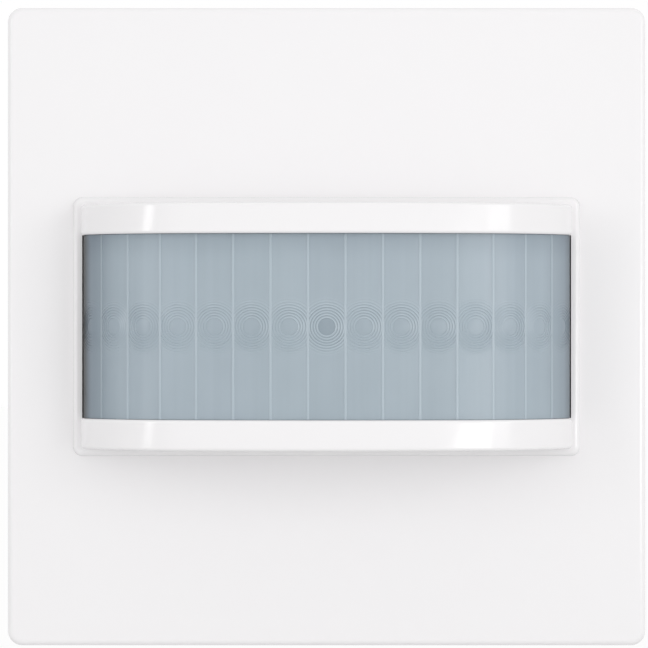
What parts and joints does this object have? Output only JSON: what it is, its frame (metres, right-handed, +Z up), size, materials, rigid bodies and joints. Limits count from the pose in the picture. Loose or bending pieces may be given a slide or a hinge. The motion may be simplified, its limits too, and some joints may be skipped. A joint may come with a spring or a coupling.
{
  "type": "motion sensor light switch",
  "caption": "Flush wall light switch operated by a passive infrared motion sensor: square white plate with a bowed wide-angle lens, plugged onto a relay insert for a round wall box.",
  "frame": {"origin": "middle of the two box-screw holes, on the rear face of the support ring, which lies on the wall", "axes": "+X to the right as seen from the room, +Z up, -Y out of the wall into the room, +Y into the wall box"},
  "size_m": [0.063, 0.0525, 0.0644],
  "materials": {
    "white_shell": "satin",
    "lens_film": "satin",
    "light_grey_plastic": "matte",
    "dark_plastic": "matte",
    "circuit_board": "satin",
    "can_steel": "satin",
    "filter_glass": "gloss",
    "chip_black": "matte",
    "capacitor_can": "satin",
    "led_red": "gloss",
    "trimmer_white": "matte",
    "trimmer_blue": "satin",
    "black_oxide_steel": "satin",
    "zinc_steel": "satin",
    "spring_steel": "satin",
    "gilt_brass": "gloss",
    "brass": "satin",
    "housing_grey": "matte",
    "relay_black": "satin",
    "bobbin_cream": "matte",
    "enamelled_copper": "gloss",
    "soft_iron": "satin",
    "film_box_yellow": "satin",
    "sleeve_dark": "satin",
    "varistor_blue": "gloss",
    "fuse_ceramic": "satin"
  },
  "bodies": {
    "insert": {"support_ring": "zinc_steel", "insert_housing": "housing_grey", "insert_lid": "light_grey_plastic", "lid_screws": "zinc_steel", "socket_housing": "dark_plastic", "socket_contacts": "gilt_brass", "power_board": "circuit_board", "terminal_bars": "brass", "relay_base": "dark_plastic", "relay_bobbin": "bobbin_cream", "relay_winding": "enamelled_copper", "relay_yoke": "soft_iron", "relay_fixed_contact": "brass", "relay_cover": "relay_black", "film_capacitor": "film_box_yellow", "supply_capacitor": "sleeve_dark", "varistor": "varistor_blue", "fuse": "fuse_ceramic", "claw_pins": "zinc_steel"},
    "sensor_head": {"cover_plate": "white_shell", "lens": "lens_film", "lens_retainer": "dark_plastic", "detector_shroud": "dark_plastic", "pir_can_left": "can_steel", "pir_can_right": "can_steel", "pir_window_left": "filter_glass", "pir_window_right": "filter_glass", "sensor_board": "circuit_board", "microcontroller": "chip_black", "board_chips": "chip_black", "storage_capacitor": "capacitor_can", "light_sensor": "chip_black", "status_led": "led_red", "head_back_cover": "light_grey_plastic", "dusk_trimmer_body": "trimmer_blue", "time_trimmer_body": "trimmer_blue", "plug_housing": "dark_plastic", "plug_pins": "gilt_brass", "head_screws": "black_oxide_steel", "retaining_springs": "spring_steel"},
    "dusk_adjuster": {"dusk_adjuster": "trimmer_white"},
    "time_adjuster": {"time_adjuster": "trimmer_white"},
    "relay_armature": {"relay_armature": "soft_iron", "relay_blade": "brass"},
    "terminal_screw_1": {"terminal_screw_1": "zinc_steel"},
    "terminal_cage_1": {"terminal_cage_1": "brass"},
    "terminal_screw_2": {"terminal_screw_2": "zinc_steel"},
    "terminal_cage_2": {"terminal_cage_2": "brass"},
    "terminal_screw_3": {"terminal_screw_3": "zinc_steel"},
    "terminal_cage_3": {"terminal_cage_3": "brass"},
    "terminal_screw_4": {"terminal_screw_4": "zinc_steel"},
    "terminal_cage_4": {"terminal_cage_4": "brass"},
    "claw_left": {"claw_left": "zinc_steel"},
    "claw_screw_left": {"claw_screw_left": "zinc_steel"},
    "claw_right": {"claw_right": "zinc_steel"},
    "claw_screw_right": {"claw_screw_right": "zinc_steel"}
  },
  "joints": [
    {"name": "head_pull", "type": "slide", "parent": "insert", "child": "sensor_head", "axis": [0, -1, 0], "range_m": [0, 0.016]},
    {"name": "dusk_turn", "type": "hinge", "parent": "sensor_head", "child": "dusk_adjuster", "pos_m": [-0.0165, -0.0045, -0.0135], "axis": [0, 1, 0], "range_deg": [-135, 135]},
    {"name": "time_turn", "type": "hinge", "parent": "sensor_head", "child": "time_adjuster", "pos_m": [0.0165, -0.0045, -0.0135], "axis": [0, 1, 0], "range_deg": [-135, 135]},
    {"name": "relay_pull_in", "type": "hinge", "parent": "insert", "child": "relay_armature", "pos_m": [-0.0163, 0.012, -0.0027], "axis": [0, 0, 1], "range_deg": [0, 4], "stiffness_Nm_per_rad": 0.02},
    {"name": "terminal_screw_1_turn", "type": "hinge", "parent": "insert", "child": "terminal_screw_1", "pos_m": [-0.01305, 0.004, -0.0177], "axis": [0, 1, 0], "range_deg": [0, 1080.6]},
    {"name": "terminal_cage_1_lift", "type": "slide", "parent": "insert", "child": "terminal_cage_1", "axis": [0, -1, 0], "range_m": [0, 0.0018]},
    {"name": "terminal_screw_2_turn", "type": "hinge", "parent": "insert", "child": "terminal_screw_2", "pos_m": [-0.00435, 0.004, -0.0177], "axis": [0, 1, 0], "range_deg": [0, 1080.6]},
    {"name": "terminal_cage_2_lift", "type": "slide", "parent": "insert", "child": "terminal_cage_2", "axis": [0, -1, 0], "range_m": [0, 0.0018]},
    {"name": "terminal_screw_3_turn", "type": "hinge", "parent": "insert", "child": "terminal_screw_3", "pos_m": [0.00435, 0.004, -0.0177], "axis": [0, 1, 0], "range_deg": [0, 1080.6]},
    {"name": "terminal_cage_3_lift", "type": "slide", "parent": "insert", "child": "terminal_cage_3", "axis": [0, -1, 0], "range_m": [0, 0.0018]},
    {"name": "terminal_screw_4_turn", "type": "hinge", "parent": "insert", "child": "terminal_screw_4", "pos_m": [0.01305, 0.004, -0.0177], "axis": [0, 1, 0], "range_deg": [0, 1080.6]},
    {"name": "terminal_cage_4_lift", "type": "slide", "parent": "insert", "child": "terminal_cage_4", "axis": [0, -1, 0], "range_m": [0, 0.0018]},
    {"name": "claw_screw_left_turn", "type": "hinge", "parent": "insert", "child": "claw_screw_left", "pos_m": [-0.0257, 0, 0], "axis": [0, 1, 0], "range_deg": [0, 720]},
    {"name": "claw_left_spread", "type": "hinge", "parent": "insert", "child": "claw_left", "pos_m": [-0.0231, 0.004, 0], "axis": [0, 0, 1], "range_deg": [0, 25.01]},
    {"name": "claw_screw_right_turn", "type": "hinge", "parent": "insert", "child": "claw_screw_right", "pos_m": [0.0257, 0, 0], "axis": [0, 1, 0], "range_deg": [0, 720]},
    {"name": "claw_right_spread", "type": "hinge", "parent": "insert", "child": "claw_right", "pos_m": [0.0231, 0.004, 0], "axis": [0, 0, -1], "range_deg": [0, 25.01]}
  ],
  "couplings": [
    {"joint": "terminal_screw_1_turn", "follows": "terminal_cage_1_lift", "rad_per_m": 10472},
    {"joint": "terminal_screw_2_turn", "follows": "terminal_cage_2_lift", "rad_per_m": 10472},
    {"joint": "terminal_screw_3_turn", "follows": "terminal_cage_3_lift", "rad_per_m": 10472},
    {"joint": "terminal_screw_4_turn", "follows": "terminal_cage_4_lift", "rad_per_m": 10472},
    {"joint": "claw_left_spread", "follows": "claw_screw_left_turn", "ratio": 0.034722},
    {"joint": "claw_right_spread", "follows": "claw_screw_right_turn", "ratio": 0.034722}
  ]
}
